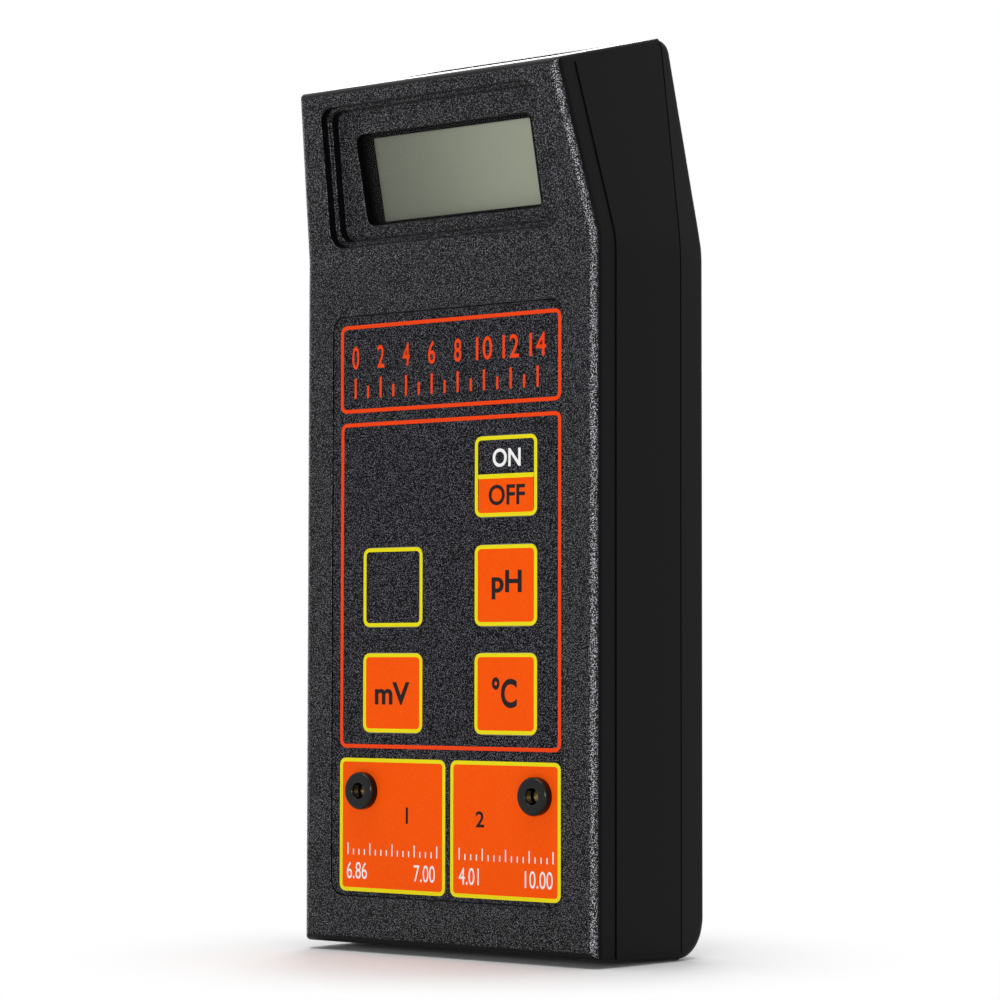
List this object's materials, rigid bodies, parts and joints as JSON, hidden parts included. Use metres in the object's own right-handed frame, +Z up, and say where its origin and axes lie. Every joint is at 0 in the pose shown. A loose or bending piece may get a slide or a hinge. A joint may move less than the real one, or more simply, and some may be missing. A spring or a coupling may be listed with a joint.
{
  "type": "portable ph meter",
  "caption": "Handheld box-shaped pH meter with a forward-leaning display head, membrane keys on a flat face, trimmer collars, top sockets and a battery door.",
  "frame": {"origin": "middle of the foot's bounding rectangle, at the level of the lowest edge", "axes": "+Z up from the foot to the head, -Y out of the keypad face, +X to the right seen from the front"},
  "size_m": [0.0794, 0.0425, 0.185],
  "materials": {
    "shell": "spark textured black",
    "label_black": "satin printed film",
    "film_clear": "clear polyester film",
    "key_orange": "satin printed film",
    "key_black": "satin printed film with an outline",
    "collar_black": "polished black",
    "brass": "turned",
    "lens": "clear polished",
    "bezel_black": "fine matt",
    "lcd": "grey green",
    "reflector": "satin film",
    "zebra": "striped silicone",
    "board_green": "solder mask",
    "steel": "zinc plated",
    "nickel": "nickel plated",
    "can": "tinned",
    "chip_black": "moulded epoxy",
    "sleeve_blue": "printed sleeve",
    "white_plastic": "smooth white",
    "trimmer_blue": "moulded blue",
    "battery_paint": "plain jacket",
    "soft_black": "soft vinyl",
    "lead_red": "insulated wire",
    "lead_black": "insulated wire",
    "lead_grey": "insulated wire",
    "foam": "open cell foam",
    "ribbon": "flexible circuit"
  },
  "bodies": {
    "meter": {"front_shell": "shell", "back_shell": "shell", "battery": "battery_paint", "battery_terminals": "nickel", "snap_cap": "soft_black", "snap_contacts": "nickel", "battery_lead_plus": "lead_red", "battery_lead_minus": "lead_black", "keypad_overlay": "label_black", "keypad_spacer": "film_clear", "keypad_circuit": "film_clear", "keypad_domes": "steel", "keypad_tail": "film_clear", "keypad_connector": "white_plastic", "std_collar": "collar_black", "slope_collar": "collar_black", "std_trimmer": "trimmer_blue", "slope_trimmer": "trimmer_blue", "display_lens": "lens", "lcd_bezel": "bezel_black", "lcd_polariser": "film_clear", "lcd_glass": "lcd", "lcd_reflector": "reflector", "zebra_strips": "zebra", "display_board": "board_green", "display_screws": "steel", "display_ribbon": "ribbon", "main_board": "board_green", "board_screws": "steel", "converter_chip": "chip_black", "amplifier_chips": "chip_black", "capacitors": "sleeve_blue", "crystal": "can", "input_shield": "can", "bnc_body": "nickel", "bnc_insulator": "white_plastic", "bnc_contact": "brass", "bnc_washer": "nickel", "bnc_nut": "nickel", "probe_jack": "chip_black", "probe_jack_nut": "nickel", "electrode_lead": "lead_grey", "probe_lead": "lead_grey", "case_screws": "steel"},
    "key_on_off": {"key_on_off": "key_orange"},
    "key_ph": {"key_ph": "key_orange"},
    "key_celsius": {"key_celsius": "key_orange"},
    "key_plain": {"key_plain": "key_black"},
    "key_mv": {"key_mv": "key_orange"},
    "std_screw": {"std_screw": "brass"},
    "slope_screw": {"slope_screw": "brass"},
    "battery_door": {"battery_door": "shell", "battery_door_foam": "foam"}
  },
  "joints": [
    {"name": "key_on_off_press", "type": "slide", "parent": "meter", "child": "key_on_off", "axis": [0, 1, 0], "range_m": [0, 0.0003], "stiffness_N_per_m": 3000, "springref_m": -0.0001},
    {"name": "key_ph_press", "type": "slide", "parent": "meter", "child": "key_ph", "axis": [0, 1, 0], "range_m": [0, 0.0003], "stiffness_N_per_m": 3000, "springref_m": -0.0001},
    {"name": "key_celsius_press", "type": "slide", "parent": "meter", "child": "key_celsius", "axis": [0, 1, 0], "range_m": [0, 0.0003], "stiffness_N_per_m": 3000, "springref_m": -0.0001},
    {"name": "key_plain_press", "type": "slide", "parent": "meter", "child": "key_plain", "axis": [0, 1, 0], "range_m": [0, 0.0003], "stiffness_N_per_m": 3000, "springref_m": -0.0001},
    {"name": "key_mv_press", "type": "slide", "parent": "meter", "child": "key_mv", "axis": [0, 1, 0], "range_m": [0, 0.0003], "stiffness_N_per_m": 3000, "springref_m": -0.0001},
    {"name": "std_screw_turn", "type": "hinge", "parent": "meter", "child": "std_screw", "pos_m": [-0.0218, -0.0104, 0.0327], "axis": [0, 1, 0], "range_deg": [-135, 135]},
    {"name": "slope_screw_turn", "type": "hinge", "parent": "meter", "child": "slope_screw", "pos_m": [0.0238, -0.0104, 0.0327], "axis": [0, 1, 0], "range_deg": [-135, 135]},
    {"name": "battery_door_hinge", "type": "hinge", "parent": "meter", "child": "battery_door", "pos_m": [0, 0.0202, 0.0126], "axis": [-1, 0, 0], "range_deg": [0, 90]}
  ]
}
